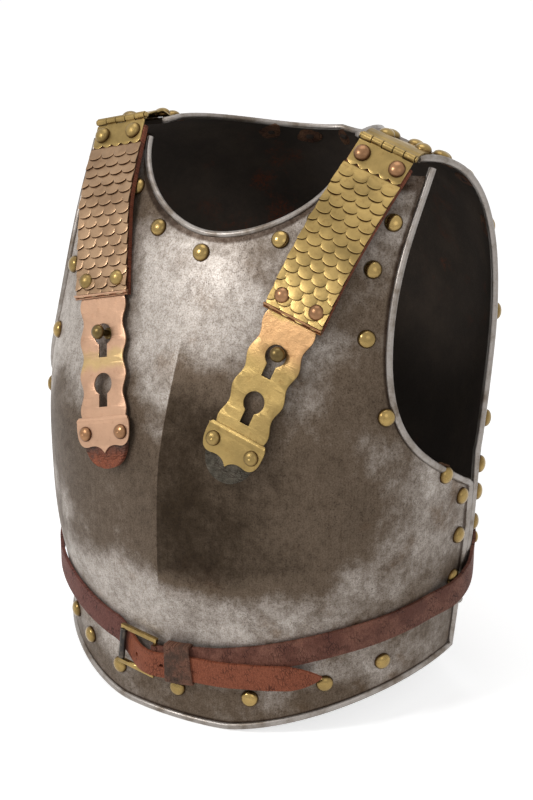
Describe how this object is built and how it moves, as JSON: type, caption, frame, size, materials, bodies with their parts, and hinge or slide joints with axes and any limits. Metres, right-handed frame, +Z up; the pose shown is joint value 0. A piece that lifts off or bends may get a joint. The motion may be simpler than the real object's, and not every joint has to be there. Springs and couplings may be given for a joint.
{
  "type": "cuirass",
  "caption": "Ridged breastplate and backplate with studded edges, joined by hinged scaled shoulder straps with keyholed ends and a buckled leather waist belt.",
  "frame": {"origin": "middle of the footprint, on the ground under the lower rims", "axes": "+Z up, -Y the way the wearer faces, +X the wearer's left"},
  "size_m": [0.3688, 0.3082, 0.4635],
  "materials": {
    "steel": "worn satin with dark patina",
    "brass": "aged satin",
    "red_brass": "pale coppery satin",
    "copper": "coppery satin",
    "red_leather": "worn red-brown",
    "dark_leather": "rough dark brown"
  },
  "bodies": {
    "plates": {"breastplate": "steel", "backplate": "steel", "shoulder_leaf_left": "brass", "hinge_pin_left": "brass", "stud_left": "brass", "shoulder_rivet_left_inner": "brass", "shoulder_rivet_left_outer": "brass", "belt_strap_left": "red_leather", "belt_rivet_left": "brass", "shoulder_leaf_right": "brass", "hinge_pin_right": "brass", "stud_right": "brass", "shoulder_rivet_right_inner": "brass", "shoulder_rivet_right_outer": "brass", "belt_strap_right": "red_leather", "belt_rivet_right": "brass", "buckle_frame": "brass"},
    "strap_left": {"strap_leather_left": "red_leather", "keyhole_plate_left": "brass", "strap_tip_left": "dark_leather", "end_cap_left": "brass", "scales_left": "brass", "strap_leaf_left": "brass", "leaf_rivet_left_inner": "copper", "leaf_rivet_left_outer": "copper", "scale_rivet_left_inner": "copper", "scale_rivet_left_outer": "copper", "cap_rivet_left_inner": "brass", "cap_rivet_left_outer": "brass"},
    "strap_right": {"strap_leather_right": "red_leather", "keyhole_plate_right": "red_brass", "strap_tip_right": "red_leather", "end_cap_right": "red_brass", "scales_right": "brass", "strap_leaf_right": "brass", "leaf_rivet_right_inner": "copper", "leaf_rivet_right_outer": "copper", "scale_rivet_right_inner": "copper", "scale_rivet_right_outer": "copper", "cap_rivet_right_inner": "red_brass", "cap_rivet_right_outer": "red_brass"},
    "roller": {"buckle_roller": "steel"},
    "keeper": {"keeper": "dark_leather"}
  },
  "joints": [
    {"name": "strap_hinge_left", "type": "hinge", "parent": "plates", "child": "strap_left", "pos_m": [0.1175, -0.01389, 0.453], "axis": [-0.9636, 0, 0.2672], "range_deg": [0, 120]},
    {"name": "strap_hinge_right", "type": "hinge", "parent": "plates", "child": "strap_right", "pos_m": [-0.1135, -0.02289, 0.443], "axis": [-0.9588, 0, -0.284], "range_deg": [0, 120]},
    {"name": "roller_turn", "type": "hinge", "parent": "plates", "child": "roller", "pos_m": [-0.0434, -0.1412, 0.05378], "axis": [-0.1224, 0.0225, -0.9922], "continuous": true},
    {"name": "keeper_slide", "type": "slide", "parent": "plates", "child": "keeper", "axis": [0.9899, 0.078, 0.1181], "range_m": [-0.004, 0.004]}
  ]
}
